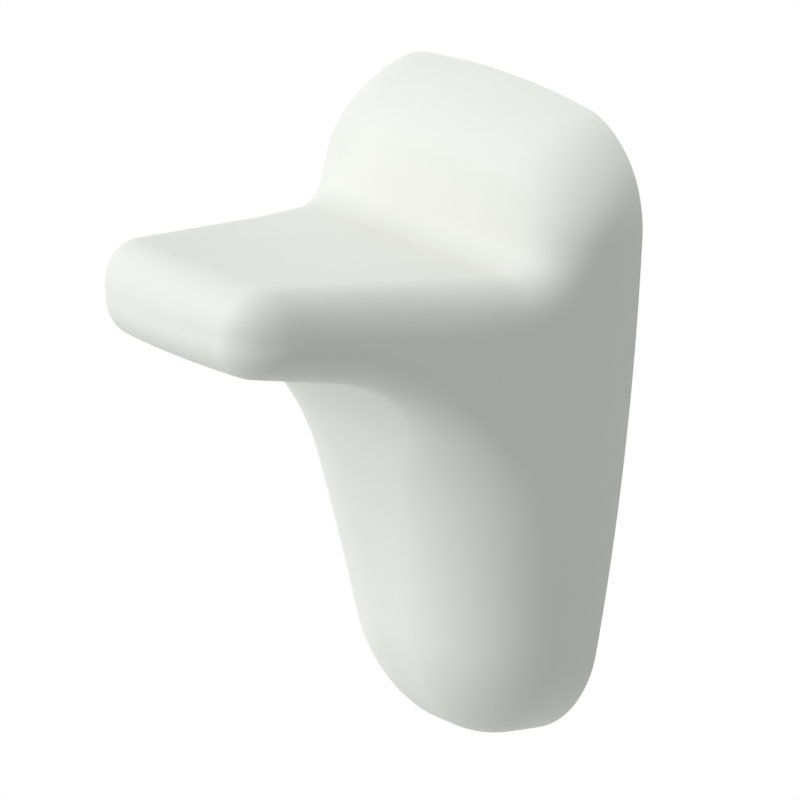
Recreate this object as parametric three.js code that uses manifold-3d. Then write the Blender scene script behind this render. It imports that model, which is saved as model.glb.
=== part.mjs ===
// Clothes hook with a concealed fixing: a moulded shell locked on a steel wall bracket.
// Millimetres, +X to the hook's left as it faces the room, +Y into the wall, +Z up.
// The wall is the plane Y = 0 and the origin is the middle of the bracket's back.
// Inside the shell, depth is counted from the wall into the room and height from the hook's lowest point.
import * as THREE from "three";
import { mergeVertices } from "three/addons/utils/BufferGeometryUtils.js";
import Module from "manifold-3d";

const wasm = await Module();
wasm.setup();

// Hook, overall
const hookHeight = 70;
const hookDepth = 42.5;
const wallThickness = 2.5;

// Outline from the front
const upperHalfWidth = 25.7;
const lowerHalfWidth = 13.8;
const sideBow = 2.6;
const upperCornerRadius = 10.4;
const lowerCornerRadius = 11.2;
const topCrownDrop = 1.6;
const topCrownReach = 20;

// Back plate
const plateDepth = 9.7;
const plateLean = 0.1;
const plateEdgeRadius = 4.6;
const plateTopEdgeRadius = 11.9;

// Tongue
const tongueLevel = 48.3;
const tongueThickness = 9.4;
const tongueRise = 0.05;
const undersideSlope = 0.15;
const tongueTaper = 0.238;
const taperStart = 2.3;
const taperEase = 3;
const tongueEdgeShare = 0.98;
const tongueEdgeEase = 12;
const tipUpperRadius = 4.7;
const tipLowerRadius = 3.3;
const tipBow = 1.6;
const tipBowReach = 15;
const seatFillet = 3;
const underFillet = 8.2;

// Stem
const stemDepth = 13.3;
const stemSwell = 9.2;
const stemSwellPower = 1.88;
const stemEdgeRadius = 9.7;
const stemFlattening = 1.3;
const stemStart = 35.5;
const stemEase = 13.2;

// Bracket
const stripThickness = 2.5;
const stripWidth = 20;
const bendRadius = 2;
const armRaise = 0.35;
const armTipGap = 4;
const armCornerRadius = 3;
const lipOverhang = 1.6;
const slideGap = 0.25;

// Wall screws and washers
const screwRadius = 2;
const screwHoleGap = 0.3;
const screwLength = 15;
const screwPointLength = 3;
const screwHeadRadius = 4;
const screwHeadHeight = 2.6;
const recessWidth = 0.9;
const recessLength = 4.2;
const recessDepth = 1.4;
const screwSpacing = 17;
const slotTravel = 3;
const washerRadius = 4.5;
const washerThickness = 0.8;
const washerHoleGap = 0.25;
const restGap = 0.03;

// Lock: set screw with its insert and pad, on one upright axis
const lockDepth = 5.6;
const lockScrewRadius = 2;
const lockScrewLength = 6;
const lockScrewBottom = 4.2;
const lockScrewChamfer = 0.4;
const lockPitch = 0.7;
const lockTurns = 3;
const lockPointRadius = 0.95;
const lockPointLength = 1.2;
const socketAcrossFlats = 2;
const socketDepth = 2.5;
const threadGap = 0.08;
const insertRadius = 3;
const insertBottom = 3.4;
const insertLength = 5.8;
const insertGrooveDepth = 0.3;
const insertGrooveWidth = 0.9;
const seatGap = 0.05;
const bossWall = 1.6;
const screwRoomGap = 0.25;
const screwEndGap = 0.5;
const keyGap = 0.25;
const padRadius = 1.8;
const padThickness = 2.35;
const padPointGap = 0.15;
const lockGap = 0.3;

// Ribs moulded inside the shell
const railOffset = 6;
const railWidth = 1.6;
const guideWidth = 1.3;
const railStartGap = 1.6;
const railSetBack = 1;
const ribRoot = 2.2;
const plateRibOffset = 9;
const plateRibWidth = 1.5;
const plateRibSetBack = 1.5;
const plateRibFoot = 0.4;
const plateRibTopGap = 4;

// Fineness of the shell's skin and of round pieces
const meridians = 66;
const rings = 28;
const rayReach = 90;
const roundSides = 32;

// The tongue's upper and lower faces: heights at a depth
const tongueTop = (depth) =>
  tongueLevel + tongueThickness / 2 + tongueRise * (depth - plateDepth);
const tipUnderside = tongueTop(hookDepth) - tongueThickness;
const tongueUnderside = (depth) => tipUnderside - undersideSlope * (hookDepth - depth);
const seat = tongueTop(plateDepth);

// The lock's stack from the bottom up: insert, screw, pad, then the bracket's lip
const insertTop = insertBottom + insertLength;
const lockTop = lockScrewBottom + lockScrewLength;
const padBottom = lockTop + padPointGap;
const padTop = padBottom + padThickness;
const lipUnderside = padTop + lockGap;
const lipReach = lockDepth + padRadius + lipOverhang;

// Below the screw: room for it to back out, narrowing to a hole that only the key passes
const socketRadius = socketAcrossFlats / Math.sqrt(3);
const keyHole = socketRadius + keyGap;
const screwRoom = lockScrewRadius + screwRoomGap;
const roomBottom = lockScrewBottom - lockTurns * lockPitch - screwEndGap;
const keyProfile = [
  [0, -1],
  [keyHole, -1],
  [keyHole, roomBottom],
  [screwRoom, roomBottom + screwRoom - keyHole],
  [screwRoom, insertTop],
  [0, insertTop],
];

// The bracket's strip, and the origin in the middle of its flat back
const armLevel = tongueLevel + armRaise;
const armTop = armLevel + stripThickness / 2;
const armUnderside = armLevel - stripThickness / 2;
const armReach = hookDepth - wallThickness - armTipGap;
const outerBend = bendRadius + stripThickness;
const upperBend = armTop - outerBend;
const lowerBend = lipUnderside + outerBend;
const originHeight = (upperBend + lowerBend) / 2;

// Small helpers for the skin's formula
const smooth = (t) => {
  const s = Math.min(Math.max(t, 0), 1);
  return s * s * (3 - 2 * s);
};
const mix = (a, b, t) => a + (b - a) * t;
const hinge = (t, ease) => (t + Math.hypot(t, ease)) / 2;
// Both conditions hold, with the outer edge between them rounded.
const both = (a, b, radius) =>
  Math.min(Math.max(a, b) + radius, 0) +
  Math.hypot(Math.max(a + radius, 0), Math.max(b + radius, 0)) -
  radius;
// Either condition holds, with the inner corner between them filled.
const either = (a, b, radius) =>
  Math.max(radius, Math.min(a, b)) -
  Math.hypot(Math.max(radius - a, 0), Math.max(radius - b, 0));

// How far a point is outside the hook's skin: negative inside, zero on the skin.
function outsideBy([x, depth, height]) {
  const across = Math.abs(x);
  const over = tongueTop(depth);
  const under = tongueUnderside(depth);
  const middle = (over + under) / 2;
  const tip = depth - hookDepth + tipBow * (across / tipBowReach) ** 2;
  const share = height / hookHeight;

  const plate = depth - plateDepth + plateLean * (height - seat);
  const swell = Math.max(height / tongueLevel, 0) ** stemSwellPower;
  const stem = depth - stemDepth - stemSwell * swell;
  const front =
    height > middle
      ? either(plate, both(height - over, tip, tipUpperRadius), seatFillet)
      : either(stem, both(under - height, tip, tipLowerRadius), underFillet);

  const halfWidth = mix(lowerHalfWidth, upperHalfWidth, share) + 4 * sideBow * share * (1 - share);
  const side = across + tongueTaper * hinge(depth - taperStart, taperEase) - halfWidth;
  const top = height - hookHeight + topCrownDrop * (across / topCrownReach) ** 2;
  const outline =
    share > 0.5 ? both(side, top, upperCornerRadius) : both(side, -height, lowerCornerRadius);

  const onStem = smooth((stemStart - height) / stemEase + 0.5);
  const onTongue = smooth((depth - plateDepth) / tongueEdgeEase);
  const upPlate = smooth((height - seat) / (hookHeight - seat));
  const plateEdge = mix(plateEdgeRadius, plateTopEdgeRadius, upPlate);
  const tongueEdge = (tongueEdgeShare * (over - under)) / 2;
  const edge = mix(mix(plateEdge, tongueEdge, onTongue), stemEdgeRadius, onStem);
  return both(front, outline / mix(1, stemFlattening, onStem), edge);
}

// Where a ray from a point inside leaves the skin, or the surface a wall thickness inside it.
function leave(from, way, inset) {
  let near = 0;
  let far = rayReach;
  for (let i = 0; i < 44; i++) {
    const middle = (near + far) / 2;
    const point = from.map((value, axis) => value + middle * way[axis]);
    if (outsideBy(point) < -inset) near = middle;
    else far = middle;
  }
  return from.map((value, axis) => value + near * way[axis]);
}

const heart = [0, 0, tongueLevel];
const ray = (turn, open) => [
  Math.cos(turn) * Math.sin(open),
  Math.cos(open),
  Math.sin(turn) * Math.sin(open),
];
const apart = (a, b) => Math.hypot(a[0] - b[0], a[1] - b[1], a[2] - b[2]);

// Running length of a line of points, with each bend counted as some extra length.
function runOf(points, bendLength) {
  const run = [0];
  for (let i = 1; i < points.length; i++) {
    let bend = 0;
    if (i > 1) {
      const [a, b, c] = points.slice(i - 2, i + 1).map((p) => new THREE.Vector3(...p));
      bend = b.clone().sub(a).angleTo(c.clone().sub(b));
    }
    run.push(run[i - 1] + apart(points[i], points[i - 1]) + bendLength * bend);
  }
  return run;
}

// The values at equal steps of a run.
function atEqualSteps(run, values, steps) {
  const picked = [];
  let i = 0;
  for (let k = 0; k <= steps; k++) {
    const wanted = (run[run.length - 1] * k) / steps;
    while (i < run.length - 2 && run[i + 1] < wanted) i++;
    const part = (wanted - run[i]) / Math.max(run[i + 1] - run[i], 1e-9);
    picked.push(mix(values[i], values[i + 1], Math.min(Math.max(part, 0), 1)));
  }
  return picked;
}

// Turns about the tongue's axis, spread by the rim at the wall and by the tongue's girth together.
function spreadTurns() {
  const count = 720;
  const girthDepth = 0.7 * hookDepth;
  const turns = Array.from({ length: count + 1 }, (_, i) => (2 * Math.PI * i) / count);
  const rim = runOf(turns.map((turn) => leave(heart, ray(turn, Math.PI / 2), 0)), 0);
  const middle = [0, girthDepth, (tongueTop(girthDepth) + tongueUnderside(girthDepth)) / 2];
  const girth = runOf(turns.map((turn) => leave(middle, ray(turn, Math.PI / 2), 0)), 0);
  return atEqualSteps(rim.map((value, i) => value + girth[i]), turns, meridians).slice(0, -1);
}

// One line of the skin from the tongue's tip to the wall, with its points closer where it bends.
function meridian(turn, inset) {
  const count = 160;
  const bendLength = 6;
  let opens = Array.from({ length: count + 1 }, (_, i) => (Math.PI / 2) * (i / count));
  for (let pass = 0; pass < 5; pass++) {
    const points = opens.map((open) => leave(heart, ray(turn, open), inset));
    opens = atEqualSteps(runOf(points, 0), opens, count);
  }
  const points = opens.map((open) => leave(heart, ray(turn, open), inset));
  return atEqualSteps(runOf(points, bendLength), opens, rings).map((open) =>
    leave(heart, ray(turn, open), inset),
  );
}

// The body inside the skin, closed at the wall, or a little behind it by a tail.
function skinSolid(turns, inset, tail) {
  const lines = turns.map((turn) => meridian(turn, inset));
  if (tail > 0) lines.forEach((line) => line.push([line[rings][0], -tail, line[rings][2]]));
  const length = lines[0].length - 1;
  const place = ([x, depth, height]) => [x, -depth, height - originHeight];
  const positions = [...place(lines[0][0]), ...place([heart[0], -tail, heart[2]])];
  lines.forEach((line) => line.slice(1).forEach((point) => positions.push(...place(point))));
  const at = (line, ring) => 2 + (line % lines.length) * length + ring - 1;
  const index = [];
  lines.forEach((_, line) => {
    index.push(0, at(line, 1), at(line + 1, 1));
    for (let ring = 1; ring < length; ring++) {
      index.push(at(line, ring), at(line + 1, ring + 1), at(line + 1, ring));
      index.push(at(line, ring), at(line, ring + 1), at(line + 1, ring + 1));
    }
    index.push(1, at(line + 1, length), at(line, length));
  });
  const geometry = new THREE.BufferGeometry();
  geometry.setAttribute("position", new THREE.Float32BufferAttribute(positions, 3));
  geometry.setIndex(index);
  return solid(geometry);
}

// From three.js geometry to a solid that can be joined and cut, and back.
function solid(geometry) {
  const bare = new THREE.BufferGeometry();
  const plain = geometry.index ? geometry.toNonIndexed() : geometry;
  bare.setAttribute("position", plain.getAttribute("position"));
  const merged = mergeVertices(bare, 1e-4);
  const triVerts = new Uint32Array(merged.index.array);
  const vertProperties = new Float32Array(merged.attributes.position.array);
  return new wasm.Manifold(new wasm.Mesh({ numProp: 3, vertProperties, triVerts }));
}
function geometryOf(body) {
  const { numProp, vertProperties, triVerts } = body.getMesh();
  const geometry = new THREE.BufferGeometry();
  const buffer = new THREE.InterleavedBuffer(vertProperties, numProp);
  geometry.setAttribute("position", new THREE.InterleavedBufferAttribute(buffer, 3, 0));
  geometry.setIndex(new THREE.BufferAttribute(triVerts, 1));
  const flat = geometry.toNonIndexed();
  flat.computeVertexNormals();
  return flat;
}

// A box between two corners given as [x, depth, height].
function block([x0, d0, h0], [x1, d1, h1]) {
  const box = new THREE.BoxGeometry(x1 - x0, d1 - d0, h1 - h0);
  return solid(box.translate((x0 + x1) / 2, -(d0 + d1) / 2, (h0 + h1) / 2 - originHeight));
}

// A turned piece: [radius, position] points along an axis, starting and ending on it or closing up.
function turned(points, sides = roundSides) {
  const profile = points.map(([radius, along]) => new THREE.Vector2(radius, along));
  return new THREE.LatheGeometry(profile, sides);
}
const upright = (geometry, depth) =>
  geometry.rotateX(Math.PI / 2).translate(0, -depth, -originHeight);
const intoRoom = (geometry, height) =>
  geometry.rotateX(Math.PI).translate(0, 0, height - originHeight);
const bar = (radius, low, high, sides) =>
  turned([[0, low], [radius, low], [radius, high], [0, high]], sides);

// Hook shell
const turns = spreadTurns();
const outer = skinSolid(turns, 0, 0);
const hollow = skinSolid(turns, wallThickness, 1);
const ribs = [-1, 1].flatMap((hand) => {
  const pair = (near, far, low, high) => {
    const edges = [hand * near, hand * far].sort((a, b) => a - b);
    return block([edges[0], low[0], low[1]], [edges[1], high[0], high[1]]);
  };
  const railStart = plateDepth + railStartGap;
  const railLow = [railStart, armTop + slideGap];
  const railHigh = [armReach - railSetBack, armTop + ribRoot];
  const guideNear = stripWidth / 2 + slideGap;
  const rail = pair(railOffset - railWidth / 2, railOffset + railWidth / 2, railLow, railHigh);
  const guide = pair(guideNear, guideNear + guideWidth, [railStart, armUnderside], railHigh);
  const plateNear = plateRibOffset - plateRibWidth / 2;
  const plateLow = [plateRibSetBack, seat - plateRibFoot];
  const plateHigh = [plateDepth, hookHeight - plateRibTopGap];
  return [rail, guide, pair(plateNear, plateNear + plateRibWidth, plateLow, plateHigh)];
});
const boss = solid(upright(bar(insertRadius + bossWall, 0, insertTop), lockDepth));
const inside = wasm.Manifold.union([...ribs, boss]).intersect(outer);
const insertSeat = solid(upright(bar(insertRadius + seatGap, insertBottom, insertTop + 1), lockDepth));
const access = solid(upright(turned(keyProfile), lockDepth));
const shell = outer.subtract(hollow).add(inside).subtract(insertSeat).subtract(access);

// Mounting bracket: the strip from the side, then its holes
const side = new THREE.Shape();
side.moveTo(armReach, armTop);
side.lineTo(outerBend, armTop);
side.absarc(outerBend, upperBend, outerBend, Math.PI / 2, Math.PI, false);
side.absarc(outerBend, lowerBend, outerBend, Math.PI, 1.5 * Math.PI, false);
side.lineTo(lipReach, lipUnderside);
side.lineTo(lipReach, lipUnderside + stripThickness);
side.absarc(outerBend, lowerBend, bendRadius, 1.5 * Math.PI, Math.PI, true);
side.absarc(outerBend, upperBend, bendRadius, Math.PI, Math.PI / 2, true);
side.lineTo(armReach, armUnderside);
side.closePath();
const stripLength = { depth: stripWidth, bevelEnabled: false, curveSegments: 8 };
const strip = new THREE.ExtrudeGeometry(side, stripLength);
strip.translate(0, 0, -stripWidth / 2);
const sideView = new THREE.Matrix4();
sideView.set(0, 0, -1, 0, -1, 0, 0, 0, 0, 1, 0, -originHeight, 0, 0, 0, 1);
strip.applyMatrix4(sideView);
const plan = new THREE.Shape();
const planHalf = stripWidth / 2;
const planCorner = armReach - armCornerRadius;
plan.moveTo(-planHalf, -1);
plan.lineTo(planHalf, -1);
plan.absarc(planHalf - armCornerRadius, planCorner, armCornerRadius, 0, Math.PI / 2, false);
plan.absarc(armCornerRadius - planHalf, planCorner, armCornerRadius, Math.PI / 2, Math.PI, false);
plan.closePath();
const planLength = { depth: hookHeight, bevelEnabled: false, curveSegments: 8 };
const planBody = new THREE.ExtrudeGeometry(plan, planLength);
planBody.rotateX(Math.PI).translate(0, 0, hookHeight - originHeight);
const holeRadius = screwRadius + screwHoleGap;
const upperHeight = originHeight + screwSpacing / 2;
const lowerHeight = originHeight - screwSpacing / 2;
const drill = (height) => solid(intoRoom(bar(holeRadius, -1, stripThickness + 1), height));
const slotEnds = [-1, 1].map((way) => drill(lowerHeight + (way * slotTravel) / 2));
const bracket = solid(strip)
  .intersect(solid(planBody))
  .subtract(drill(upperHeight))
  .subtract(wasm.Manifold.union(slotEnds).hull());

// Wall screws and washers
const washerBack = stripThickness + restGap;
const washerFront = washerBack + washerThickness;
const washerHole = screwRadius + washerHoleGap;
const washerProfile = [
  [washerHole, washerBack],
  [washerRadius, washerBack],
  [washerRadius, washerFront],
  [washerHole, washerFront],
  [washerHole, washerBack],
];
const headBack = washerFront + restGap;
const headFront = headBack + screwHeadHeight;
const pointEnd = headBack - screwLength;
const domeSteps = 6;
const dome = Array.from({ length: domeSteps + 1 }, (_, i) => {
  const angle = (Math.PI / 2) * (i / domeSteps);
  const rim = 0.25 * screwHeadHeight;
  const rise = headBack + rim + (screwHeadHeight - rim) * Math.sin(angle);
  return [screwHeadRadius * Math.cos(angle), rise];
});
const screwProfile = [
  [0, pointEnd],
  [screwRadius, pointEnd + screwPointLength],
  [screwRadius, headBack],
  [screwHeadRadius, headBack],
  ...dome.slice(0, -1),
  [0, headFront],
];
function wallScrew(height) {
  const long = recessLength / 2;
  const wide = recessWidth / 2;
  const low = headFront - recessDepth;
  const cross = [
    block([-long, low, height - wide], [long, headFront + 1, height + wide]),
    block([-wide, low, height - long], [wide, headFront + 1, height + long]),
  ];
  return solid(intoRoom(turned(screwProfile), height)).subtract(wasm.Manifold.union(cross));
}

// Lock: insert, set screw and pad
const insertBore = lockScrewRadius + threadGap;
const grooveAt = [0.3, 0.7].map((part) => mix(insertBottom, insertTop, part));
const grooves = grooveAt.flatMap((height) => [
  [insertRadius, height - insertGrooveWidth / 2],
  [insertRadius - insertGrooveDepth, height - insertGrooveWidth / 4],
  [insertRadius - insertGrooveDepth, height + insertGrooveWidth / 4],
  [insertRadius, height + insertGrooveWidth / 2],
]);
const insertProfile = [
  [insertBore, insertBottom],
  [insertRadius, insertBottom],
  ...grooves,
  [insertRadius, insertTop],
  [insertBore, insertTop],
  [insertBore, insertBottom],
];
const lockProfile = [
  [0, lockScrewBottom],
  [lockScrewRadius - lockScrewChamfer, lockScrewBottom],
  [lockScrewRadius, lockScrewBottom + lockScrewChamfer],
  [lockScrewRadius, lockTop - lockScrewChamfer],
  [lockScrewRadius - lockScrewChamfer, lockTop],
  [lockPointRadius, lockTop],
  [lockPointRadius, lockTop + lockPointLength],
  [0, lockTop + lockPointLength],
];
const socketTop = lockScrewBottom + socketDepth;
const socket = solid(upright(bar(socketRadius, lockScrewBottom - 1, socketTop, 6), lockDepth));
const lockScrew = solid(upright(turned(lockProfile), lockDepth)).subtract(socket);
const padHole = lockPointRadius + padPointGap;
const padHoleTop = lockTop + lockPointLength + padPointGap;
const padProfile = [
  [padHole, padBottom],
  [padRadius, padBottom],
  [padRadius, padTop],
  [0, padTop],
  [0, padHoleTop],
  [padHole, padHoleTop],
  [padHole, padBottom],
];

const hook = new THREE.Group();
function add(name, body, color, metalness, roughness) {
  const material = new THREE.MeshStandardMaterial({ color, metalness, roughness });
  const mesh = new THREE.Mesh(geometryOf(body), material);
  mesh.name = name;
  hook.add(mesh);
}
add("hook_shell", shell, "#eeefeb", 0, 0.45);
add("mounting_bracket", bracket, "#b9bcbf", 1, 0.4);
add("upper_washer", solid(intoRoom(turned(washerProfile), upperHeight)), "#c3c5c8", 1, 0.35);
add("lower_washer", solid(intoRoom(turned(washerProfile), lowerHeight)), "#c3c5c8", 1, 0.35);
add("upper_wall_screw", wallScrew(upperHeight), "#c9cacc", 1, 0.3);
add("lower_wall_screw", wallScrew(lowerHeight), "#c9cacc", 1, 0.3);
add("lock_insert", solid(upright(turned(insertProfile), lockDepth)), "#c9a24a", 1, 0.35);
add("lock_screw", lockScrew, "#8f9296", 1, 0.35);
add("lock_pad", solid(upright(turned(padProfile), lockDepth)), "#e4e0d2", 0, 0.5);

export default hook;
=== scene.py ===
"""Looks of the clothes hook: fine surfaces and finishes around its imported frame.

Sizes are in millimetres and become metres when a mesh is made. Inside the hook, depth counts from
the wall into the room and height from the hook's lowest point.
"""
import math

import bmesh
import bpy
import numpy as np
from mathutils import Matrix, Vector


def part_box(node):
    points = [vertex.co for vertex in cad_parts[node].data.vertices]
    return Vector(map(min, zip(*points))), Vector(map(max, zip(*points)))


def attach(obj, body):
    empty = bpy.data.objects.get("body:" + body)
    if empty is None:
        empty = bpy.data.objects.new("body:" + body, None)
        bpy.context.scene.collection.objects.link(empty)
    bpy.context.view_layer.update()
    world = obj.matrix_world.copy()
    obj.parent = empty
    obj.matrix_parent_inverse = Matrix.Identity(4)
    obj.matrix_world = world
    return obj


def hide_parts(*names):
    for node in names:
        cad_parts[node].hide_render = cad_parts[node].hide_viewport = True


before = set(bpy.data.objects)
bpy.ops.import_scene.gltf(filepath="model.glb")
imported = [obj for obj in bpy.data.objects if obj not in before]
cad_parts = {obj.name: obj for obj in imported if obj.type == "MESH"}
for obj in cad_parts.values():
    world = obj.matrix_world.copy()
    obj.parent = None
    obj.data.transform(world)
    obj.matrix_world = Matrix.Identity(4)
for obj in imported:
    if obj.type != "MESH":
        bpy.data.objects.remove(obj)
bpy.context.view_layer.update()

METRES = 0.001

# Hook, overall
HOOK_HEIGHT = 70.0
HOOK_DEPTH = 42.5
WALL = 2.5

# Outline from the front
UPPER_HALF_WIDTH = 25.7
LOWER_HALF_WIDTH = 13.8
SIDE_BOW = 2.6
UPPER_CORNER_RADIUS = 10.4
LOWER_CORNER_RADIUS = 11.2
TOP_CROWN_DROP = 1.6
TOP_CROWN_REACH = 20.0

# Back plate
PLATE_DEPTH = 9.7
PLATE_LEAN = 0.1
PLATE_EDGE_RADIUS = 4.6
PLATE_TOP_EDGE_RADIUS = 11.9

# Tongue
TONGUE_LEVEL = 48.3
TONGUE_THICKNESS = 9.4
TONGUE_RISE = 0.05
UNDERSIDE_SLOPE = 0.15
TONGUE_TAPER = 0.238
TAPER_START = 2.3
TAPER_EASE = 3.0
TONGUE_EDGE_SHARE = 0.98
TONGUE_EDGE_EASE = 12.0
TIP_UPPER_RADIUS = 4.7
TIP_LOWER_RADIUS = 3.3
TIP_BOW = 1.6
TIP_BOW_REACH = 15.0
SEAT_FILLET = 3.0
UNDER_FILLET = 8.2

# Stem
STEM_DEPTH = 13.3
STEM_SWELL = 9.2
STEM_SWELL_POWER = 1.88
STEM_EDGE_RADIUS = 9.7
STEM_FLATTENING = 1.3
STEM_START = 35.5
STEM_EASE = 13.2

# Ribs and boss inside the shell
RAIL_OFFSET = 6.0
RAIL_WIDTH = 1.6
GUIDE_WIDTH = 1.3
RAIL_START_GAP = 1.6
RAIL_SET_BACK = 1.0
RIB_ROOT = 2.2
RIB_EDGE_POWER = 16.0
SLIDE_GAP = 0.25
PLATE_RIB_OFFSET = 9.0
PLATE_RIB_WIDTH = 1.5
PLATE_RIB_SET_BACK = 1.5
PLATE_RIB_FOOT = 0.4
PLATE_RIB_TOP_GAP = 4.0
BOSS_WALL = 1.6
BOSS_LEAST_HEIGHT = 0.1
SEAT_GAP = 0.05
SCREW_ROOM_GAP = 0.25
SCREW_END_GAP = 0.5
KEY_GAP = 0.25

# Bracket
STRIP_THICKNESS = 2.5
STRIP_EDGE_POWER = 14.0
BEND_RADIUS = 2.0
ARM_CORNER_RADIUS = 3.0
LIP_REACH = 9.0
HOLE_RADIUS = 2.3
SLOT_TRAVEL = 3.0

# Wall screws and washers
SCREW_RADIUS = 2.0
SCREW_CORE_RADIUS = 1.4
SCREW_NECK_RADIUS = 1.75
SCREW_NECK_LENGTH = 3.2
SCREW_PITCH = 1.8
SCREW_RIDGE_WIDTH = 0.45
SCREW_POINT_LENGTH = 3.0
POINT_RIDGE_RISE = 1.4
HEAD_RADIUS = 4.0
HEAD_HEIGHT = 2.6
HEAD_RIM = 0.65
HEAD_CHAMFER = 0.1
RECESS_WIDTH = 0.9
RECESS_LENGTH = 4.2
RECESS_DEPTH = 1.4
RECESS_EDGE = 0.16
WASHER_HOLE_RADIUS = 2.25
WASHER_EDGE_POWER = 5.0

# Lock
LOCK_PITCH = 0.7
LOCK_TURNS = 3
LOCK_THREAD_DEPTH = 0.4
LOCK_THREAD_GAP = 0.08
LOCK_RIDGE_WIDTH = 1.0
LOCK_CHAMFER = 0.4
LOCK_POINT_RADIUS = 0.95
LOCK_POINT_LENGTH = 1.2
LOCK_POINT_ROUND = 0.3
SOCKET_ACROSS_FLATS = 2.0
SOCKET_DEPTH = 2.5
SOCKET_EDGE = 0.12
SOCKET_FLATS = (30, 90, 150)
KNURLS = 26
KNURL_DEPTH = 0.16
KNURL_END_EASE = 0.4
COUNTERBORE = 1.2
GROOVE_SHARES = (0.3, 0.7)
GROOVE_DEPTH = 0.3
GROOVE_WIDTH = 0.9
PAD_HOLE_RADIUS = 1.1
PAD_HOLE_DEPTH = 1.2
PAD_ROUND = 0.25

# Fineness of the surfaces
SKIN_TURNS = 288
OUTER_RINGS = 170
INNER_RINGS = 70
SEARCH_RINGS = 220
EVENING_PASSES = 4
RAY_REACH = 90.0
HALVINGS = 34
BEND_LENGTH = 6.0
GIRTH_SHARE = 0.7
ROUND_SIDES = 72
RIB_SIDES = 32
RIB_RINGS = 24
STRIP_SIDES = 96
STRIP_BEND_RINGS = 15
STRIP_CORNER_RINGS = 13
SHANK_RINGS = 190
DOME_RINGS = 60
WASHER_SIDES = 40
SOCKET_RINGS = 50
LOCK_THREAD_RINGS = 120
LOCK_POINT_RINGS = 8
INSERT_RINGS = 110
PAD_BEND_RINGS = 9
FLOOR_SIDES = 96
SHARP_ANGLE = math.radians(38)
CUT_PAST = 1.0
SEAM = 0.002
ALMOST_NOTHING = 0.02
NO_LENGTH = 1e-9

# Floor, light and camera
FLOOR_LEVEL = -1600.0
FLOOR_RADIUS = 1000.0
FLOOR_LIFT = 0.4
AMBIENT = 0.291
AMBIENT_TINT = (0.98, 1.03, 0.98)
LAMP_SPREAD = 50.0
LAMPS = {
    "key_upper_front": ((-0.27, -0.8, 0.53), 0.433),
    "fill_level_left": ((-0.45, -0.89, -0.07), 0.286),
    "top_overhead": ((0.36, 0.1, 0.93), 0.172),
    "top_from_behind": ((-0.47, 0.5, 0.73), 0.137),
    "rim_from_behind": ((0.4, 0.9, -0.2), 0.167),
}
CAMERA_TURN = 56.52
CAMERA_RISE = 15.03
CAMERA_AWAY = 1200.0
CAMERA_SIGHT = 100000.0
CAMERA_AIM = (-0.1, -12.96, 4.88)
PIXELS_PER_MM = 9.706
PICTURE_PIXELS = 800
SENSOR = 36.0


def span(node):
    """Lowest and highest corner of a CAD node, in millimetres."""
    low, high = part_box(node)
    return np.array(low) / METRES, np.array(high) / METRES


LOWEST = span("hook_shell")[0][2]
ANGLE = 2 * np.pi * np.arange(ROUND_SIDES) / ROUND_SIDES
QUARTER = np.pi / 2


def wall_level(node):
    """Height of the level axis of a wall screw or washer."""
    low, high = span(node)
    return (low[2] + high[2]) / 2 - LOWEST


def lock_axis(node):
    """Depth of the lock's upright axis, and a lock piece's lowest and highest height."""
    low, high = span(node)
    return -(low[1] + high[1]) / 2, low[2] - LOWEST, high[2] - LOWEST


def place(x, depth, height):
    """Points of the frame, in millimetres, from distances across the hook, depths and heights."""
    return np.stack(np.broadcast_arrays(x, -depth, height + LOWEST), -1)


def upright(depth, radius, height):
    """Rings about an upright axis at one depth, from their radii and heights."""
    return place(radius * np.cos(ANGLE), depth + radius * np.sin(ANGLE), height)


def into_wall(height, radius, depth):
    """Rings about a level axis into the wall at one height, from their radii and depths."""
    return place(radius * np.cos(ANGLE), depth, height + radius * np.sin(ANGLE))


def smooth(t):
    """Eased step from 0 to 1."""
    s = np.clip(t, 0, 1)
    return s * s * (3 - 2 * s)


def within(distance, edge):
    """1 inside an outline and 0 outside it, eased over the width of its edge."""
    return smooth(0.5 - distance / edge)


def mix(a, b, t):
    """Value between a and b at share t."""
    return a + (b - a) * t


def hinge(t, ease):
    """Zero below the start and t above it, with an eased bend between."""
    return (t + np.hypot(t, ease)) / 2


def both(a, b, radius):
    """Distance outside two conditions that both hold, with the outer edge between them rounded."""
    corner = np.hypot(np.maximum(a + radius, 0), np.maximum(b + radius, 0))
    return np.minimum(np.maximum(a, b) + radius, 0) + corner - radius


def either(a, b, radius):
    """Distance outside two conditions of which one holds, with their inner corner filled."""
    corner = np.hypot(np.maximum(radius - a, 0), np.maximum(radius - b, 0))
    return np.maximum(radius, np.minimum(a, b)) - corner


def tongue_top(depth):
    """Height of the tongue's upper face, which rises a little towards the tip."""
    return TONGUE_LEVEL + TONGUE_THICKNESS / 2 + TONGUE_RISE * (depth - PLATE_DEPTH)


def tongue_underside(depth):
    """Height of the tongue's lower face, which rises from the stem to the tip."""
    return tongue_top(HOOK_DEPTH) - TONGUE_THICKNESS - UNDERSIDE_SLOPE * (HOOK_DEPTH - depth)


SEAT = tongue_top(PLATE_DEPTH)


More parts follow.
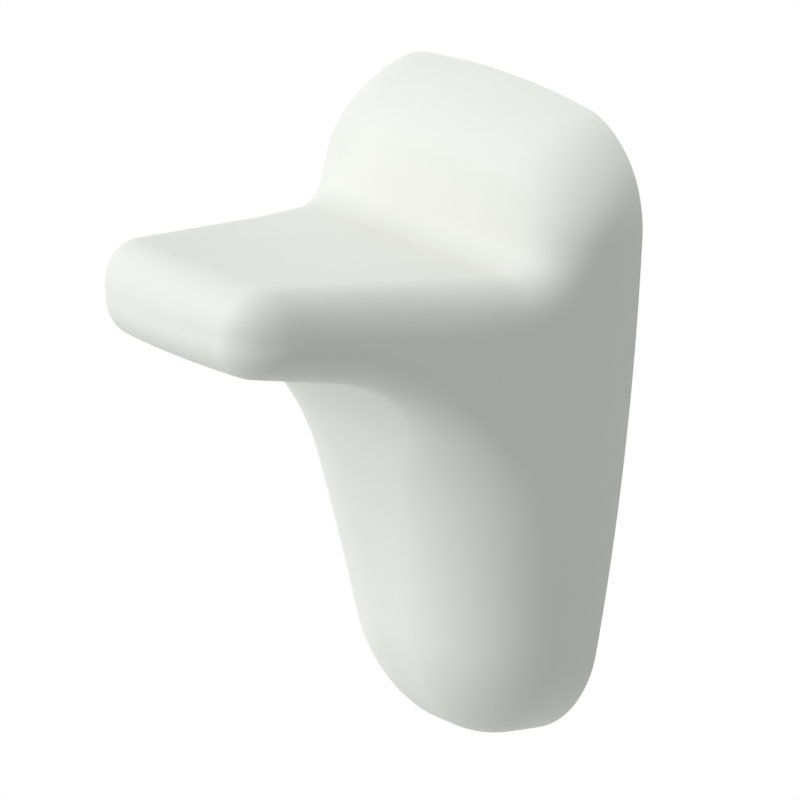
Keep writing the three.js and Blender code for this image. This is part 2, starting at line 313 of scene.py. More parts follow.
def outside_by(x, depth, height):
    """How far points are outside the hook's skin: the front seen from the side and the outline seen
    from the front both hold, and the edge where they meet has a radius that changes along the hook."""
    across = np.abs(x)
    over, under = tongue_top(depth), tongue_underside(depth)
    share = height / HOOK_HEIGHT

    tip = depth - HOOK_DEPTH + TIP_BOW * (across / TIP_BOW_REACH) ** 2
    plate = depth - PLATE_DEPTH + PLATE_LEAN * (height - SEAT)
    swell = np.maximum(height / TONGUE_LEVEL, 0) ** STEM_SWELL_POWER
    stem = depth - STEM_DEPTH - STEM_SWELL * swell
    upper = either(plate, both(height - over, tip, TIP_UPPER_RADIUS), SEAT_FILLET)
    lower = either(stem, both(under - height, tip, TIP_LOWER_RADIUS), UNDER_FILLET)
    front = np.where(height > (over + under) / 2, upper, lower)

    half_width = mix(LOWER_HALF_WIDTH, UPPER_HALF_WIDTH, share) + 4 * SIDE_BOW * share * (1 - share)
    side = across + TONGUE_TAPER * hinge(depth - TAPER_START, TAPER_EASE) - half_width
    top = height - HOOK_HEIGHT + TOP_CROWN_DROP * (across / TOP_CROWN_REACH) ** 2
    upper_outline = both(side, top, UPPER_CORNER_RADIUS)
    lower_outline = both(side, -height, LOWER_CORNER_RADIUS)
    outline = np.where(share > 0.5, upper_outline, lower_outline)

    on_stem = within(height - STEM_START, STEM_EASE)
    on_tongue = smooth((depth - PLATE_DEPTH) / TONGUE_EDGE_EASE)
    up_plate = smooth((height - SEAT) / (HOOK_HEIGHT - SEAT))
    plate_edge = mix(PLATE_EDGE_RADIUS, PLATE_TOP_EDGE_RADIUS, up_plate)
    tongue_edge = TONGUE_EDGE_SHARE * (over - under) / 2
    edge = mix(mix(plate_edge, tongue_edge, on_tongue), STEM_EDGE_RADIUS, on_stem)
    return both(front, outline / mix(1, STEM_FLATTENING, on_stem), edge)


# Meshes

def ring_faces(rings, columns):
    """Quads between neighbouring rings of a grid whose columns close into a ring."""
    ring = np.arange(rings - 1)[:, None] * columns
    column = np.arange(columns)[None, :]
    following = (column + 1) % columns
    corners = [ring + column, ring + following, ring + columns + following, ring + columns + column]
    return np.stack(np.broadcast_arrays(*corners), -1).reshape(-1, 4)


def fan_faces(middle, first, columns):
    """Triangles from one middle point to a ring whose points start at first."""
    column = np.arange(columns)
    following = (column + 1) % columns
    return np.stack([np.full(columns, middle), first + following, first + column], -1)


def signed_volume(points, faces):
    """Six times the volume inside the faces, negative where they point inwards."""
    total = 0.0
    for group in faces:
        for corner in range(1, group.shape[1] - 1):
            a, b, c = points[group[:, 0]], points[group[:, corner]], points[group[:, corner + 1]]
            total += np.einsum("ij,ij->", a, np.cross(b, c))
    return total


def closed_rings(rings):
    """Points and faces of rings joined in order, with a fan at each end to the end ring's middle."""
    count, columns = rings.shape[:2]
    ends = np.stack([rings[0].mean(0), rings[-1].mean(0)])
    points = np.concatenate([rings.reshape(-1, 3), ends])
    first_fan = fan_faces(count * columns, 0, columns)
    last_fan = fan_faces(count * columns + 1, (count - 1) * columns, columns)[:, ::-1]
    return points, [ring_faces(count, columns), first_fan, last_fan]


def looped_rings(rings):
    """Points and faces of rings joined in order, with the last joined to the first."""
    count, columns = rings.shape[:2]
    faces = ring_faces(count + 1, columns) % (count * columns)
    return rings.reshape(-1, 3), [faces]


def mesh_object(name, points, faces):
    """An object at the origin whose mesh has these points, in millimetres, and outward faces."""
    if signed_volume(points, faces) < 0:
        faces = [group[:, ::-1] for group in faces]
    mesh = bpy.data.meshes.new(name)
    mesh.from_pydata(points * METRES, [], [face for group in faces for face in group.tolist()])
    made = bpy.data.objects.new(name, mesh)
    bpy.context.scene.collection.objects.link(made)
    return made


def cut_or_join(target, other, operation):
    """Applies a boolean of another object to the target and removes that object."""
    modifier = target.modifiers.new(operation, "BOOLEAN")
    modifier.object = other
    modifier.operation = operation
    modifier.solver = "EXACT"
    bpy.context.view_layer.update()
    shown = target.evaluated_get(bpy.context.evaluated_depsgraph_get())
    target.data = bpy.data.meshes.new_from_object(shown)
    target.modifiers.clear()
    bpy.data.objects.remove(other)


def clean_seams(made):
    """Merges doubled points and dissolves the slivers that joining and cutting leave along seams."""
    work = bmesh.new()
    work.from_mesh(made.data)
    bmesh.ops.remove_doubles(work, verts=work.verts, dist=SEAM * METRES)
    bmesh.ops.dissolve_degenerate(work, edges=work.edges, dist=SEAM * METRES)
    work.to_mesh(made.data)
    work.free()


def finish_piece(made, material, body, node):
    """Shades a piece smooth between its sharp edges, finishes it and sets it in its node's place."""
    mesh = made.data
    mesh.polygons.foreach_set("use_smooth", np.ones(len(mesh.polygons), bool))
    mesh.set_sharp_from_angle(angle=SHARP_ANGLE)
    mesh.materials.clear()
    mesh.materials.append(material)
    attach(made, body)
    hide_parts(node)


def squared_ring(columns, power):
    """Points of a rounded square of half size 1: powers of a circle's cosine and sine."""
    angle = 2 * np.pi * (np.arange(columns) + 0.5) / columns
    ease = 2 / power
    return [np.sign(wave) * np.abs(wave) ** ease for wave in (np.cos(angle), np.sin(angle))]


# Hook shell

# The rays that find the skin start on the wall plane, behind the tongue.
HEART = np.array([0.0, 0.0, TONGUE_LEVEL])
OUTWARDS = np.array([0.0, 1.0, 0.0])
DOWNWARDS = np.array([0.0, 0.0, -1.0])


def leave(start, way, inset):
    """Points where rays leave the skin, or the surface a distance inside it, found by halving."""
    near = np.zeros(np.broadcast_shapes(start.shape, way.shape)[:-1])
    far = np.full_like(near, RAY_REACH)
    for _ in range(HALVINGS):
        middle = (near + far) / 2
        point = start + middle[..., None] * way
        inside = outside_by(point[..., 0], point[..., 1], point[..., 2]) < -inset
        near = np.where(inside, middle, near)
        far = np.where(inside, far, middle)
    return start + near[..., None] * way


def ray(turn, opening):
    """Directions at a turn about the tongue's axis and an opening angle from it."""
    sine = np.sin(opening)
    ways = np.cos(turn) * sine, np.cos(opening), np.sin(turn) * sine
    return np.stack(np.broadcast_arrays(*ways), -1)


def run_of(lines, bend_length):
    """Running length along lines of points, with each bend counted as some extra length."""
    step = np.diff(lines, axis=1)
    length = np.linalg.norm(step, axis=-1)
    way = step / np.maximum(length, NO_LENGTH)[..., None]
    bend = np.arccos(np.clip(np.einsum("ijk,ijk->ij", way[:, 1:], way[:, :-1]), -1, 1))
    length[:, 1:] += bend_length * bend
    return np.concatenate([np.zeros((len(lines), 1)), np.cumsum(length, axis=1)], axis=1)


def at_equal_steps(run, values, count):
    """Line by line, the values at equal steps of the run."""
    line = 2 * np.arange(len(run))[:, None]
    wanted = line + np.linspace(0, 1, count)
    return np.interp(wanted, (line + run / run[:, -1:]).ravel(), values.ravel())


def spread_turns():
    """Turns about the tongue's axis, spread by the rim at the wall and the tongue's girth together."""
    turn = np.linspace(0, 2 * np.pi, 4 * SKIN_TURNS + 1)
    depth = GIRTH_SHARE * HOOK_DEPTH
    middle = np.array([0, depth, (tongue_top(depth) + tongue_underside(depth)) / 2])
    rim = run_of(leave(HEART, ray(turn, QUARTER), 0)[None], 0)
    girth = run_of(leave(middle, ray(turn, QUARTER), 0)[None], 0)
    return at_equal_steps(rim + girth, turn[None], SKIN_TURNS + 1)[0, :-1]


def skin_rings(turns, inset, count):
    """Rings of the skin from the tongue's tip to the wall, closer together where the skin bends."""
    turn = turns[:, None]
    opening = np.tile(np.linspace(0, QUARTER, SEARCH_RINGS), (len(turns), 1))
    for _ in range(EVENING_PASSES):
        lines = leave(HEART, ray(turn, opening), inset)
        opening = at_equal_steps(run_of(lines, 0), opening, SEARCH_RINGS)
    lines = leave(HEART, ray(turn, opening), inset)
    opening = at_equal_steps(run_of(lines, BEND_LENGTH), opening, count)
    lines = leave(HEART, ray(turn, opening), inset)
    return place(lines[..., 0], lines[..., 1], lines[..., 2]).swapaxes(0, 1)


def rib(x, width, depths, heights):
    """A straight rib across x, between two depths and two heights, with slightly rounded edges."""
    across, up = squared_ring(RIB_SIDES, RIB_EDGE_POWER)
    depth = np.array(depths)[:, None]
    height = mix(heights[0], heights[1], (up + 1) / 2)
    return closed_rings(place(x + width / 2 * across, depth, height))


def plate_rib(x):
    """An upright rib behind the plate: its section runs back from inside the plate, level by level."""
    across, along = squared_ring(RIB_SIDES, RIB_EDGE_POWER)
    foot, top = SEAT - PLATE_RIB_FOOT, HOOK_HEIGHT - PLATE_RIB_TOP_GAP
    height = np.linspace(foot, top, RIB_RINGS)[:, None]
    start = np.stack(np.broadcast_arrays(x, PLATE_RIB_SET_BACK, height), -1)
    front = leave(start, OUTWARDS, WALL / 2)[..., 1]
    depth = mix(PLATE_RIB_SET_BACK, front, (along + 1) / 2)
    return closed_rings(place(x + PLATE_RIB_WIDTH / 2 * across, depth, height))


def boss(lock_depth, radius, top):
    """A round boss whose foot follows the middle of the wall under it."""
    across = np.array([ALMOST_NOTHING, 1.0, 1.0, ALMOST_NOTHING])[:, None] * radius
    start = np.stack(np.broadcast_arrays(
        across * np.cos(ANGLE),
        lock_depth + across * np.sin(ANGLE),
        top,
    ), -1)
    foot = leave(start, DOWNWARDS, WALL / 2)[..., 2]
    foot = np.minimum(foot, top - BOSS_LEAST_HEIGHT)
    height = np.where(np.arange(4)[:, None] < 2, foot, top)
    return closed_rings(upright(lock_depth, across, height))


def hook_shell(material):
    """The moulded shell: outer skin, flat rim at the wall and inner skin in one surface, then its ribs
    and boss joined to it. The insert's seat, the screw's room and the key's hole are cut out."""
    turns = spread_turns()
    outer = skin_rings(turns, 0, OUTER_RINGS)
    inner = skin_rings(turns, WALL, INNER_RINGS)
    # Each skin's first ring is a single point, and the closing fan takes its place.
    skin = np.concatenate([outer[1:], inner[:0:-1]])
    shell = mesh_object("moulded_hook_shell", *closed_rings(skin))

    bracket_low, bracket_high = span("mounting_bracket")
    arm_top = bracket_high[2] - LOWEST
    arm_underside = arm_top - STRIP_THICKNESS
    rail_depths = [PLATE_DEPTH + RAIL_START_GAP, -bracket_low[1] - RAIL_SET_BACK]
    rail_heights = [arm_top + SLIDE_GAP, arm_top + RIB_ROOT]
    guide_heights = [arm_underside, arm_top + RIB_ROOT]
    guide_x = bracket_high[0] + SLIDE_GAP + GUIDE_WIDTH / 2
    parts = []
    for hand in (-1, 1):
        parts.append(rib(hand * RAIL_OFFSET, RAIL_WIDTH, rail_depths, rail_heights))
        parts.append(rib(hand * guide_x, GUIDE_WIDTH, rail_depths, guide_heights))
        parts.append(plate_rib(hand * PLATE_RIB_OFFSET))
    lock_depth, insert_bottom, insert_top = lock_axis("lock_insert")
    insert_radius = span("lock_insert")[1][0]
    parts.append(boss(lock_depth, insert_radius + BOSS_WALL, insert_top))
    for points, faces in parts:
        cut_or_join(shell, mesh_object("rib", points, faces), "UNION")

    seat = insert_radius + SEAT_GAP
    screw_bottom = lock_axis("lock_screw")[1]
    screw_room = span("lock_screw")[1][0] + SCREW_ROOM_GAP
    key_hole = SOCKET_ACROSS_FLATS / math.sqrt(3) + KEY_GAP
    room_bottom = screw_bottom - LOCK_TURNS * LOCK_PITCH - SCREW_END_GAP
    profile = np.array([
        [key_hole, -WALL],
        [key_hole, room_bottom],
        [screw_room, room_bottom + screw_room - key_hole],
        [screw_room, insert_bottom],
        [seat, insert_bottom],
        [seat, insert_top + WALL],
    ])
    cutter = closed_rings(upright(lock_depth, profile[:, :1], profile[:, 1:]))
    cut_or_join(shell, mesh_object("cutter", *cutter), "DIFFERENCE")
    clean_seams(shell)
    finish_piece(shell, material, "hook", "hook_shell")


# Mounting bracket

def mounting_bracket(material):
    """A flat strip's rounded section carried along its bends, narrowed by arcs at the arm's end, and its
    round and slotted holes cut out."""
    low, high = span("mounting_bracket")
    half_width = high[0]
    bottom, top = low[2] - LOWEST, high[2] - LOWEST
    reach = -low[1]
    bend = BEND_RADIUS + STRIP_THICKNESS
    middle_radius = BEND_RADIUS + STRIP_THICKNESS / 2
    quarter = np.linspace(0, QUARTER, STRIP_BEND_RINGS)
    corner = np.linspace(0, QUARTER, STRIP_CORNER_RINGS)
    end_gap = ARM_CORNER_RADIUS * (1 - np.sin(corner))
    end_inset = ARM_CORNER_RADIUS * (1 - np.cos(corner))
    inset = np.concatenate([np.zeros(2 * len(quarter) + 1), end_inset])
    depth = np.concatenate([
        [LIP_REACH],
        bend - middle_radius * np.sin(quarter),
        bend - middle_radius * np.cos(quarter),
        reach - end_gap,
    ])
    height = np.concatenate([
        [bottom + STRIP_THICKNESS / 2],
        bottom + bend - middle_radius * np.cos(quarter),
        top - bend + middle_radius * np.sin(quarter),
        np.full(len(corner), top - STRIP_THICKNESS / 2),
    ])
    lean = np.concatenate([[0], quarter, QUARTER - quarter, 0 * corner])
    upwards = np.where(np.arange(len(lean)) <= len(quarter), 1.0, -1.0)
    across, through = squared_ring(STRIP_SIDES, STRIP_EDGE_POWER)
    half = STRIP_THICKNESS / 2 * through
    x = (half_width - inset)[:, None] * across
    ring_depth = depth[:, None] + np.sin(lean)[:, None] * half
    ring_height = height[:, None] + (upwards * np.cos(lean))[:, None] * half
    strip = mesh_object("zinc_plated_bracket", *closed_rings(place(x, ring_depth, ring_height)))

    cut_depth = np.array([-CUT_PAST, STRIP_THICKNESS + CUT_PAST])[:, None]
    upper_half = np.where(np.arange(ROUND_SIDES) < ROUND_SIDES / 2, 1.0, -1.0)
    for node, travel in (("upper_wall_screw", 0.0), ("lower_wall_screw", SLOT_TRAVEL)):
        level = wall_level(node) + upper_half * travel / 2
        hole = closed_rings(into_wall(level, HOLE_RADIUS, cut_depth))
        cut_or_join(strip, mesh_object("hole", *hole), "DIFFERENCE")
    clean_seams(strip)
    finish_piece(strip, material, "bracket", "mounting_bracket")


# Round pieces

def thread(along, pitch, width):
    """Height from 0 to 1 of a ridge that winds round an axis: a peak of some width in each pitch."""
    share = (along / pitch - ANGLE / (2 * np.pi)) % 1
    return np.clip(1 - np.abs(2 * share - 1) / width, 0, 1)


def wall_screw(node, material):
    """A screw turned about its axis: point, winding thread, neck and a domed head, whose cross recess
    is a dip of the dome's height where the cross covers it."""
    low, high = span(node)
    point = -high[1]
    front = -low[1]
    back = front - HEAD_HEIGHT

    along = np.linspace(point, back, SHANK_RINGS)[:, None]
    taper = np.clip((along - point) / SCREW_POINT_LENGTH, ALMOST_NOTHING, 1)
    fade = smooth((back - SCREW_NECK_LENGTH - along) / SCREW_PITCH)
    rise = fade * np.minimum(taper * POINT_RIDGE_RISE, 1)
    ridge = thread(along, SCREW_PITCH, SCREW_RIDGE_WIDTH) * rise
    core = mix(SCREW_NECK_RADIUS, SCREW_CORE_RADIUS, fade)
    shank_radius = taper * core + ridge * (SCREW_RADIUS - SCREW_CORE_RADIUS)
    shank_along = np.broadcast_to(along, shank_radius.shape)

    dome = np.linspace(0, QUARTER, DOME_RINGS)[:, None]
    head_radius = np.maximum(HEAD_RADIUS * np.cos(dome), ALMOST_NOTHING) + 0 * ANGLE
    head_along = back + HEAD_RIM + (HEAD_HEIGHT - HEAD_RIM) * np.sin(dome) + 0 * ANGLE
    across, up = np.abs(head_radius * np.cos(ANGLE)), np.abs(head_radius * np.sin(ANGLE))
    wide, long = RECESS_WIDTH / 2, RECESS_LENGTH / 2
    arm = np.maximum(across - wide, up - long)
    cross = np.minimum(arm, np.maximum(up - wide, across - long))
    covered = within(cross, RECESS_EDGE)
    head_along = mix(head_along, np.minimum(head_along, front - RECESS_DEPTH), covered)

    under = np.full((1, ROUND_SIDES), HEAD_RADIUS - HEAD_CHAMFER)
    rim = np.full((1, ROUND_SIDES), HEAD_RADIUS)
    flat = np.full((1, ROUND_SIDES), back)
    radius = np.concatenate([shank_radius, under, rim, head_radius])
    depth = np.concatenate([shank_along, flat, flat + HEAD_CHAMFER, head_along])
    rings = into_wall(wall_level(node), radius, depth)
    made = mesh_object("zinc_plated_" + node, *closed_rings(rings))
    finish_piece(made, material, "bracket", node)


def washer(node, material):
    """A flat ring: a rounded oblong section turned about the screw's axis."""
    low, high = span(node)
    across, through = [wave[:, None] for wave in squared_ring(WASHER_SIDES, WASHER_EDGE_POWER)]
    radius = mix(WASHER_HOLE_RADIUS, high[0], (across + 1) / 2)
    depth = mix(-high[1], -low[1], (through + 1) / 2)
    rings = into_wall(wall_level(node), radius, depth)
    made = mesh_object("stamped_" + node, *looped_rings(rings))
    finish_piece(made, material, "bracket", node)


def lock_screw(material):
    """A set screw: its end face has a hexagonal dip for the key, its side a winding thread, and its
    upper end a short round point."""
    depth, bottom, top = lock_axis("lock_screw")
    radius = span("lock_screw")[1][0]
    shoulder = top - LOCK_POINT_LENGTH
    core = radius - LOCK_THREAD_DEPTH

    face = np.linspace(ALMOST_NOTHING, radius - LOCK_CHAMFER, SOCKET_RINGS)[:, None] + 0 * ANGLE
    flats = np.max([np.abs(np.cos(ANGLE - turn)) for turn in np.radians(SOCKET_FLATS)], axis=0)
    covered = within(face * flats - SOCKET_ACROSS_FLATS / 2, SOCKET_EDGE)
    face_height = bottom + SOCKET_DEPTH * covered

    side_height = np.linspace(bottom, shoulder, LOCK_THREAD_RINGS)[1:, None] + 0 * ANGLE
    crest = np.minimum(side_height - bottom, shoulder - side_height) + radius - LOCK_CHAMFER
    winding = core + LOCK_THREAD_DEPTH * thread(side_height, LOCK_PITCH, LOCK_RIDGE_WIDTH)
    side = np.minimum(winding, crest)

    turn = np.linspace(0, QUARTER, LOCK_POINT_RINGS)[:, None]
    point = LOCK_POINT_RADIUS - LOCK_POINT_ROUND * (1 - np.cos(turn)) + 0 * ANGLE
    point_height = top - LOCK_POINT_ROUND * (1 - np.sin(turn)) + 0 * ANGLE
    neck = np.full((1, ROUND_SIDES), LOCK_POINT_RADIUS)
    rings = upright(
        depth,
        np.concatenate([face, side, neck, point]),
        np.concatenate([face_height, side_height, neck * 0 + shoulder, point_height]),
    )
    made = mesh_object("stainless_set_screw", *closed_rings(rings))
    finish_piece(made, material, "screw", "lock_screw")


def lock_insert(material):
    """A brass bush: crossed knurls and two grooves on its outside, a winding thread in its bore, and a
    plain counterbore at its upper end, where the pad sinks in."""
    depth, bottom, top = lock_axis("lock_insert")
    outer = span("lock_insert")[1][0]
    bore_radius = span("lock_screw")[1][0] + LOCK_THREAD_GAP

    height = np.linspace(bottom, top, INSERT_RINGS)[:, None] + 0 * ANGLE
    from_end = np.minimum(height - bottom, top - height)
    twist = (height - bottom) / outer
    waves = [np.abs(np.sin(KNURLS / 2 * (ANGLE + way * twist))) for way in (1, -1)]
    outside = outer - KNURL_DEPTH * (1 - waves[0] * waves[1])
    for share in GROOVE_SHARES:
        away = np.abs(height - mix(bottom, top, share)) / (GROOVE_WIDTH / 2)
        outside = np.minimum(outside, outer - GROOVE_DEPTH * smooth(2 * (1 - away)))
    outside = mix(outer - KNURL_DEPTH, outside, smooth(from_end / KNURL_END_EASE))

    winding = thread(height, LOCK_PITCH, LOCK_RIDGE_WIDTH)
    bore = bore_radius - LOCK_THREAD_DEPTH * (1 - winding)
    bore = np.maximum(bore, bore_radius - from_end)
    bore = np.where(height > top - COUNTERBORE, bore_radius, bore)
    radius = np.concatenate([outside, bore[::-1]])
    rings = upright(depth, radius, np.concatenate([height, height[::-1]]))
    made = mesh_object("knurled_brass_insert", *looped_rings(rings))
    finish_piece(made, material, "hook", "lock_insert")


def lock_pad(material):
    """A soft cap on the set screw's point: a blind hole below, rounded edges and a flat top, turned."""
    depth, bottom, top = lock_axis("lock_pad")
    radius = span("lock_pad")[1][0]
    turn = np.linspace(0, QUARTER, PAD_BEND_RINGS)
    bend = PAD_ROUND * np.stack([np.sin(turn), 1 - np.cos(turn)], -1)
    profile = np.concatenate([
        [[ALMOST_NOTHING, bottom + PAD_HOLE_DEPTH]],
        [[PAD_HOLE_RADIUS, bottom + PAD_HOLE_DEPTH]],
        [[PAD_HOLE_RADIUS, bottom + PAD_ROUND / 2]],
        [[PAD_HOLE_RADIUS + PAD_ROUND / 2, bottom]],
        [radius - PAD_ROUND, bottom] + bend,
        [radius, top - PAD_ROUND] + bend[:, ::-1] * [-1, 1],
        [[ALMOST_NOTHING, top]],
    ])
    rings = upright(depth, profile[:, :1], profile[:, 1:])
    made = mesh_object("nylon_lock_pad", *closed_rings(rings))
    finish_piece(made, material, "pad", "lock_pad")


# Finishes

RELIEF = 0.02 * METRES
# A wave texture's bands repeat this many times faster than its scale says.
WAVE_SPEED = 20.0


def linear(code):
    """A colour for a shader from an sRGB hex code."""
    parts = np.array([int(code[i:i + 2], 16) for i in (1, 3, 5)]) / 255
    low, high = parts / 12.92, ((parts + 0.055) / 1.055) ** 2.4
    return (*np.where(parts <= 0.04045, low, high), 1.0)


def per_mm(size):
    """A texture's scale from the size of its pattern in millimetres."""
    return 1 / (size * METRES)


def add(tree, kind, inputs, **settings):
    """One node with its settings, and each input's value, or its link where a node's output is given."""
    made = tree.nodes.new(kind)
    for name, value in settings.items():
        setattr(made, name, value)
    for key, value in inputs.items():
        if isinstance(value, tuple) and isinstance(value[0], bpy.types.Node):
            tree.links.new(value[0].outputs[value[1]], made.inputs[key])
        else:
            made.inputs[key].default_value = value
    return made


def new_material(name):
    """An empty material and its node tree."""
    material = bpy.data.materials.new(name)
    material.use_nodes = True
    tree = material.node_tree
    tree.nodes.clear()
    return material, tree


def finish(tree, inputs):
    """Joins a shader with these inputs to the material's output."""
    shader = add(tree, "ShaderNodeBsdfPrincipled", inputs)
    add(tree, "ShaderNodeOutputMaterial", {"Surface": (shader, 0)})


def moulded_plastic():
    """White satin plastic as it leaves a spark-finished mould: an even, slightly warm white, faint
    clouds from the melt's flow, and a very fine grain that keeps every reflection soft."""
    material, tree = new_material("moulded_white_abs")
    spot = (add(tree, "ShaderNodeTexCoord", {}), "Object")
    flow = add(tree, "ShaderNodeTexNoise", {"Vector": spot, "Scale": per_mm(16), "Detail": 3.0})
    tones = {"Factor": (flow, 0), 6: linear("#ecece8"), 7: linear("#f0f0ec")}
    tint = add(tree, "ShaderNodeMix", tones, data_type="RGBA")
    grain = add(tree, "ShaderNodeTexNoise", {"Vector": spot, "Scale": per_mm(0.35), "Detail": 2.0})
    gloss = add(tree, "ShaderNodeMapRange", {"Value": (grain, 0), "To Min": 0.46, "To Max": 0.58})
    bump = add(tree, "ShaderNodeBump", {"Height": (grain, 0), "Strength": 0.06, "Distance": RELIEF})
    finish(tree, {
        "Base Color": (tint, 2),
        "Roughness": (gloss, 0),
        "Normal": (bump, 0),
        "IOR": 1.5,
        "Specular IOR Level": 0.35,
    })
    return material


def plated_steel(name, dark, light, stretch, line):
    """Zinc-plated steel: pale blue-grey metal, faintly cloudy as plating dries, with fine lines left
    along the direction in which it was worked."""
    material, tree = new_material(name)
    spot = (add(tree, "ShaderNodeTexCoord", {}), "Object")
    drawn = add(tree, "ShaderNodeMapping", {"Vector": spot, "Scale": stretch})
    lines = add(tree, "ShaderNodeTexNoise", {"Vector": (drawn, 0), "Scale": per_mm(line), "Detail": 4.0})
    cloud = add(tree, "ShaderNodeTexNoise", {"Vector": spot, "Scale": per_mm(4), "Detail": 3.0})
    tones = {"Factor": (cloud, 0), 6: linear(dark), 7: linear(light)}
    tint = add(tree, "ShaderNodeMix", tones, data_type="RGBA")
    gloss = add(tree, "ShaderNodeMapRange", {"Value": (lines, 0), "To Min": 0.26, "To Max": 0.46})
    bump = add(tree, "ShaderNodeBump", {"Height": (lines, 0), "Strength": 0.12, "Distance": RELIEF})
    finish(tree, {
        "Base Color": (tint, 2),
        "Metallic": 1.0,
        "Roughness": (gloss, 0),
        "Normal": (bump, 0),
    })
    return material


def turned_metal(name, dark, light, line):
    """Turned metal: rings left by the tool, one above another, in a slightly uneven tone."""
    material, tree = new_material(name)
    spot = (add(tree, "ShaderNodeTexCoord", {}), "Object")
    waves = {"Vector": spot, "Scale": per_mm(line) / WAVE_SPEED, "Distortion": 1.5, "Detail": 2.0}
    rings = add(tree, "ShaderNodeTexWave", waves, bands_direction="Z")
    tone = add(tree, "ShaderNodeTexNoise", {"Vector": spot, "Scale": per_mm(1.5), "Detail": 3.0})
    tones = {"Factor": (tone, 0), 6: linear(dark), 7: linear(light)}
    tint = add(tree, "ShaderNodeMix", tones, data_type="RGBA")
    gloss = add(tree, "ShaderNodeMapRange", {"Value": (rings, "Fac"), "To Min": 0.24, "To Max": 0.4})
    bump = add(tree, "ShaderNodeBump", {"Height": (rings, "Fac"), "Strength": 0.1, "Distance": RELIEF})
    finish(tree, {
        "Base Color": (tint, 2),
        "Metallic": 1.0,
        "Roughness": (gloss, 0),
        "Normal": (bump, 0),
    })
    return material


def turned_nylon():
    """Natural nylon: a warm, waxy off-white with a faint cloud in it and a dull sheen."""
    material, tree = new_material("turned_natural_nylon")
    spot = (add(tree, "ShaderNodeTexCoord", {}), "Object")
    cloud = add(tree, "ShaderNodeTexNoise", {"Vector": spot, "Scale": per_mm(1.2), "Detail": 3.0})
    tones = {"Factor": (cloud, 0), 6: linear("#ddd8c8"), 7: linear("#e9e5d8")}
    tint = add(tree, "ShaderNodeMix", tones, data_type="RGBA")
    gloss = add(tree, "ShaderNodeMapRange", {"Value": (cloud, 0), "To Min": 0.4, "To Max": 0.55})
    finish(tree, {"Base Color": (tint, 2), "Roughness": (gloss, 0), "IOR": 1.53})
    return material


# Floor, light and camera

def seen_directly(tree):
    """1 for rays from the camera, or from gloss and glass, and 0 for light on its way to the object."""
    path = add(tree, "ShaderNodeLightPath", {})
    first = {0: (path, "Is Camera Ray"), 1: (path, "Is Glossy Ray")}
    seen = add(tree, "ShaderNodeMath", first, operation="MAXIMUM")
    second = {0: (seen, 0), 1: (path, "Is Transmission Ray")}
    return add(tree, "ShaderNodeMath", second, operation="MAXIMUM")


def pale_floor():
    """A wide pale floor far below the hook, which looks white and keeps the hook's shadow."""
    angle = 2 * np.pi * np.arange(FLOOR_SIDES) / FLOOR_SIDES
    disc = FLOOR_RADIUS * np.stack([np.cos(angle), np.sin(angle), 0 * angle], -1)
    points = disc + [0, 0, FLOOR_LEVEL]
    mesh = bpy.data.meshes.new("pale_floor")
    mesh.from_pydata(points * METRES, [], [list(range(FLOOR_SIDES))])
    floor = bpy.data.objects.new("pale_floor", mesh)
    bpy.context.scene.collection.objects.link(floor)
    material, tree = new_material("pale_matt_floor")
    matt = add(tree, "ShaderNodeBsdfDiffuse", {"Color": linear("#f4f4f2")})
    share = {0: (seen_directly(tree), 0), 1: FLOOR_LIFT}
    lift = add(tree, "ShaderNodeMath", share, operation="MULTIPLY")
    white = add(tree, "ShaderNodeEmission", {"Strength": (lift, 0)})
    total = add(tree, "ShaderNodeAddShader", {0: (matt, 0), 1: (white, 0)})
    add(tree, "ShaderNodeOutputMaterial", {"Surface": (total, 0)})
    mesh.materials.append(material)


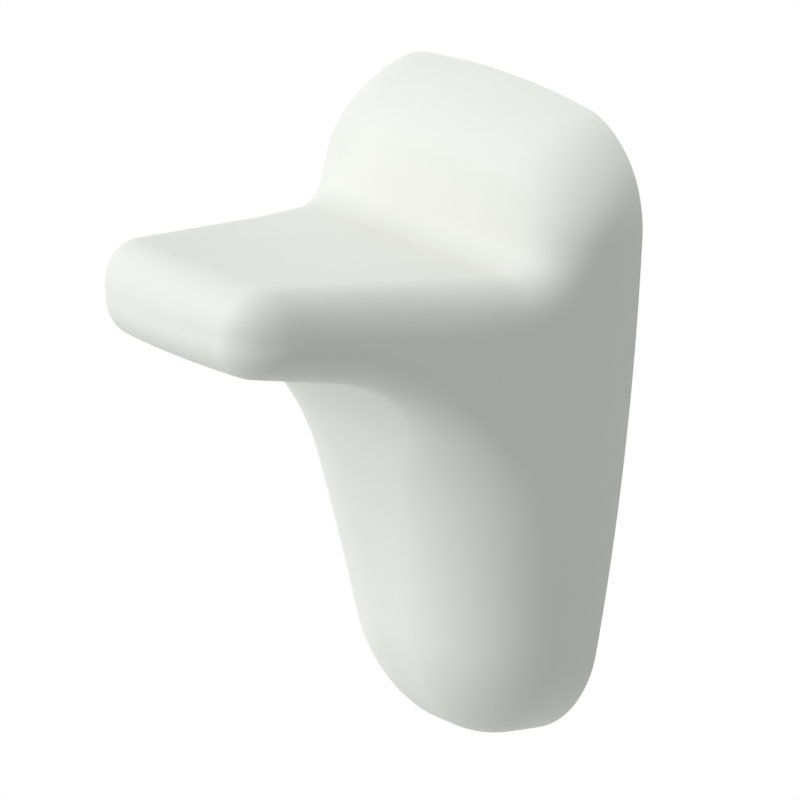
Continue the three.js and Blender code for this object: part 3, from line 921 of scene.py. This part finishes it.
def studio_light():
    """Even light from all round, faintly green as from painted walls but white to the eye, and five
    broad lamps: two before the hook, two above it and one behind it."""
    world = bpy.data.worlds.new("studio")
    world.use_nodes = True
    tree = world.node_tree
    tree.nodes.clear()
    tones = {
        "Factor": (seen_directly(tree), 0),
        6: (*(AMBIENT * part for part in AMBIENT_TINT), 1.0),
        7: (1.0, 1.0, 1.0, 1.0),
    }
    colour = add(tree, "ShaderNodeMix", tones, data_type="RGBA")
    sky = add(tree, "ShaderNodeBackground", {"Color": (colour, 2)})
    add(tree, "ShaderNodeOutputWorld", {"Surface": (sky, 0)})
    bpy.context.scene.world = world
    for name, (way, level) in LAMPS.items():
        lamp = bpy.data.lights.new(name, "SUN")
        lamp.energy = level * math.pi
        lamp.angle = math.radians(LAMP_SPREAD)
        sun = bpy.data.objects.new(name, lamp)
        sun.rotation_mode = "QUATERNION"
        sun.rotation_quaternion = Vector(way).to_track_quat("Z", "Y")
        bpy.context.scene.collection.objects.link(sun)


def camera():
    """The photograph's view: a long lens, from one side of the hook and a little above."""
    turn, rise = math.radians(CAMERA_TURN), math.radians(CAMERA_RISE)
    level = math.cos(rise)
    back = Vector((math.sin(turn) * level, -math.cos(turn) * level, math.sin(rise)))
    data = bpy.data.cameras.new("camera")
    data.sensor_width = SENSOR
    data.lens = SENSOR * PIXELS_PER_MM * CAMERA_AWAY / PICTURE_PIXELS
    data.clip_end = CAMERA_SIGHT * METRES
    made = bpy.data.objects.new("camera", data)
    made.location = (Vector(CAMERA_AIM) + back * CAMERA_AWAY) * METRES
    made.rotation_mode = "QUATERNION"
    made.rotation_quaternion = back.to_track_quat("Z", "Y")
    bpy.context.scene.collection.objects.link(made)
    bpy.context.scene.camera = made


bpy.context.scene.view_settings.view_transform = "Standard"
camera()
studio_light()
pale_floor()

every_way = (1.0, 1.0, 1.0)
lengthwise = (1.0, 0.04, 0.04)
strip_steel = plated_steel("zinc_plated_strip", "#a9adb2", "#c4c7ca", lengthwise, 0.25)
screw_steel = plated_steel("zinc_plated_screw", "#b4b7bb", "#cfd1d3", every_way, 0.5)
washer_steel = plated_steel("zinc_plated_stamping", "#b0b4b8", "#cbcdd0", every_way, 0.8)
hook_shell(moulded_plastic())
mounting_bracket(strip_steel)
for side in ("upper", "lower"):
    wall_screw(side + "_wall_screw", screw_steel)
    washer(side + "_washer", washer_steel)
lock_insert(turned_metal("turned_brass", "#b98f3c", "#d3b063", 0.18))
lock_screw(turned_metal("rolled_stainless", "#83868a", "#9b9ea1", 0.3))
lock_pad(turned_nylon())
